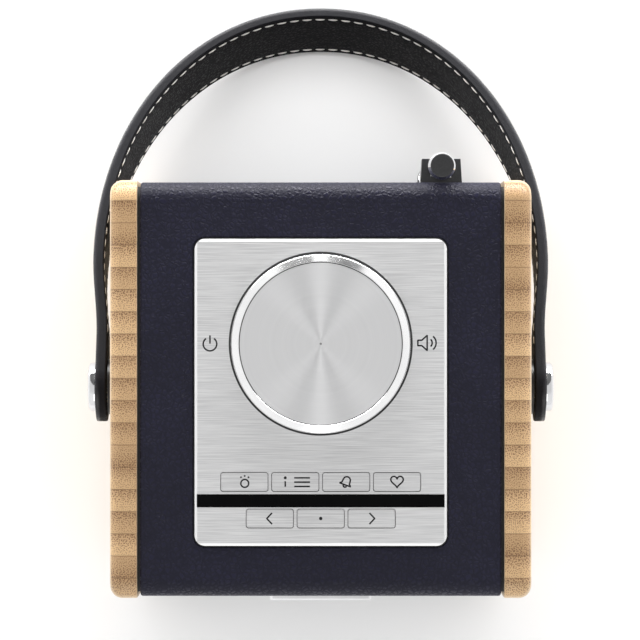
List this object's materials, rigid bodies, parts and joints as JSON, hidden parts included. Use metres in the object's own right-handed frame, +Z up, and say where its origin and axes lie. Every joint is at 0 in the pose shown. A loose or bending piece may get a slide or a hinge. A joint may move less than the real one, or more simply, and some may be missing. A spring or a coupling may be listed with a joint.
{
  "type": "leather portable radio",
  "caption": "Small cube-shaped table radio in navy leather with bamboo ends, a large dial and keys on a brushed top plate, a swinging strap handle and a telescopic aerial.",
  "frame": {"origin": "centre of the pad that the radio stands on, on the table", "axes": "+X to the radio's right as seen from the front, +Y to its back, +Z up"},
  "size_m": [0.1348, 0.174, 0.1176],
  "materials": {
    "frame_plastic": "moulded, matt",
    "navy_leather": "pebble-grained leather, dark navy, satin",
    "bamboo": "laminated bamboo, end grain up, clear satin",
    "black_rubber": "matt",
    "black_plastic": "fine spark texture",
    "steel": "zinc plated",
    "brushed_aluminium": "brushed along X, clear anodised",
    "display_glass": "smoked acrylic, glossy",
    "display_parts": "satin",
    "circuit_board": "solder mask",
    "white_nylon": "satin",
    "brass": "turned",
    "turned_aluminium": "turned, polished sloping ring",
    "spun_aluminium": "spun in circles",
    "battery_wrap": "shrink wrap, satin",
    "ferrite": "matt",
    "paper_cone": "pulp cone, matt",
    "surround_rubber": "satin",
    "spider_cloth": "impregnated cloth",
    "copper_coil": "enamelled wire",
    "grille_cloth": "open weave",
    "chrome": "polished",
    "strap_leather": "smooth leather with burnished edges, charcoal",
    "strap_lining": "grained lining, near black, pale stitching",
    "lead_insulation": "soft vinyl"
  },
  "bodies": {
    "cabinet": {"cabinet_frame": "frame_plastic", "leather_wrap": "navy_leather", "left_side_panel": "bamboo", "right_side_panel": "bamboo", "panel_gaskets": "black_rubber", "base_plate": "black_plastic", "grip_pad": "black_rubber", "case_screws": "steel", "control_plate": "brushed_aluminium", "display_window": "display_glass", "display_module": "display_parts", "control_board": "circuit_board", "button_switches": "black_plastic", "board_screws": "steel", "encoder_body": "steel", "encoder_nut": "brass", "main_board": "circuit_board", "tuner_module": "steel", "rear_plate": "black_plastic", "dc_jack": "black_plastic", "usb_port": "steel", "audio_jacks": "black_plastic", "battery_pack": "battery_wrap", "battery_cover": "black_plastic", "cover_screws": "steel", "speaker_basket": "steel", "speaker_magnet": "ferrite", "speaker_surround": "surround_rubber", "speaker_spider": "spider_cloth", "speaker_grille": "brushed_aluminium", "grille_cloth": "grille_cloth", "front_trim_bar": "chrome", "antenna_base": "black_plastic", "antenna_clip": "black_plastic", "pivot_bolts": "chrome", "pivot_bushes": "black_plastic", "pivot_inserts": "brass", "wiring_loom": "lead_insulation"},
    "handle": {"strap_leather": "strap_leather", "strap_lining": "strap_lining", "strap_eyelets": "brass"},
    "dial_plunger": {"encoder_plunger": "white_nylon"},
    "dial": {"encoder_shaft": "steel", "dial_body": "turned_aluminium", "dial_cap": "spun_aluminium"},
    "light_key": {"button_light": "brushed_aluminium"},
    "menu_key": {"button_menu": "brushed_aluminium"},
    "alarm_key": {"button_alarm": "brushed_aluminium"},
    "favourite_key": {"button_favourite": "brushed_aluminium"},
    "previous_key": {"button_previous": "brushed_aluminium"},
    "select_key": {"button_select": "brushed_aluminium"},
    "next_key": {"button_next": "brushed_aluminium"},
    "cone": {"speaker_cone": "paper_cone", "voice_coil": "copper_coil"},
    "aerial_swivel": {"antenna_swivel": "chrome"},
    "aerial_arm": {"antenna_elbow": "chrome", "antenna_tube_1": "chrome"},
    "aerial_tube_2": {"antenna_tube_2": "chrome"},
    "aerial_tube_3": {"antenna_tube_3": "chrome"},
    "aerial_tip": {"antenna_tip": "chrome"}
  },
  "joints": [
    {"name": "handle_swing", "type": "hinge", "parent": "cabinet", "child": "handle", "pos_m": [0, 0, 0.0695], "axis": [1, 0, 0], "range_deg": [0, 237.9]},
    {"name": "dial_press", "type": "slide", "parent": "cabinet", "child": "dial_plunger", "axis": [0, 0, -1], "range_m": [0, 0.0004], "stiffness_N_per_m": 2000, "springref_m": -0.0006},
    {"name": "dial_turn", "type": "hinge", "parent": "dial_plunger", "child": "dial", "pos_m": [0, 0.0128, 0.11], "axis": [0, 0, 1], "continuous": true},
    {"name": "light_key_press", "type": "slide", "parent": "cabinet", "child": "light_key", "axis": [0, 0, -1], "range_m": [0, 0.00045], "stiffness_N_per_m": 600, "springref_m": -0.0004},
    {"name": "menu_key_press", "type": "slide", "parent": "cabinet", "child": "menu_key", "axis": [0, 0, -1], "range_m": [0, 0.00045], "stiffness_N_per_m": 600, "springref_m": -0.0004},
    {"name": "alarm_key_press", "type": "slide", "parent": "cabinet", "child": "alarm_key", "axis": [0, 0, -1], "range_m": [0, 0.00045], "stiffness_N_per_m": 600, "springref_m": -0.0004},
    {"name": "favourite_key_press", "type": "slide", "parent": "cabinet", "child": "favourite_key", "axis": [0, 0, -1], "range_m": [0, 0.00045], "stiffness_N_per_m": 600, "springref_m": -0.0004},
    {"name": "previous_key_press", "type": "slide", "parent": "cabinet", "child": "previous_key", "axis": [0, 0, -1], "range_m": [0, 0.00045], "stiffness_N_per_m": 600, "springref_m": -0.0004},
    {"name": "select_key_press", "type": "slide", "parent": "cabinet", "child": "select_key", "axis": [0, 0, -1], "range_m": [0, 0.00045], "stiffness_N_per_m": 600, "springref_m": -0.0004},
    {"name": "next_key_press", "type": "slide", "parent": "cabinet", "child": "next_key", "axis": [0, 0, -1], "range_m": [0, 0.00045], "stiffness_N_per_m": 600, "springref_m": -0.0004},
    {"name": "cone_stroke", "type": "slide", "parent": "cabinet", "child": "cone", "axis": [0, -1, 0], "range_m": [-0.001, 0.001], "stiffness_N_per_m": 1500},
    {"name": "aerial_turn", "type": "hinge", "parent": "cabinet", "child": "aerial_swivel", "pos_m": [0.0339, 0.0625, 0.02], "axis": [0, 0, 1], "range_deg": [-90, 90]},
    {"name": "aerial_tilt", "type": "hinge", "parent": "aerial_swivel", "child": "aerial_arm", "pos_m": [0.0339, 0.0625, 0.0303], "axis": [-1, 0, 0], "range_deg": [0, 90]},
    {"name": "aerial_slide_2", "type": "slide", "parent": "aerial_arm", "child": "aerial_tube_2", "axis": [0, 0, 1], "range_m": [0, 0.056]},
    {"name": "aerial_slide_3", "type": "slide", "parent": "aerial_tube_2", "child": "aerial_tube_3", "axis": [0, 0, 1], "range_m": [0, 0.056]},
    {"name": "aerial_slide_4", "type": "slide", "parent": "aerial_tube_3", "child": "aerial_tip", "axis": [0, 0, 1], "range_m": [0, 0.056]}
  ]
}
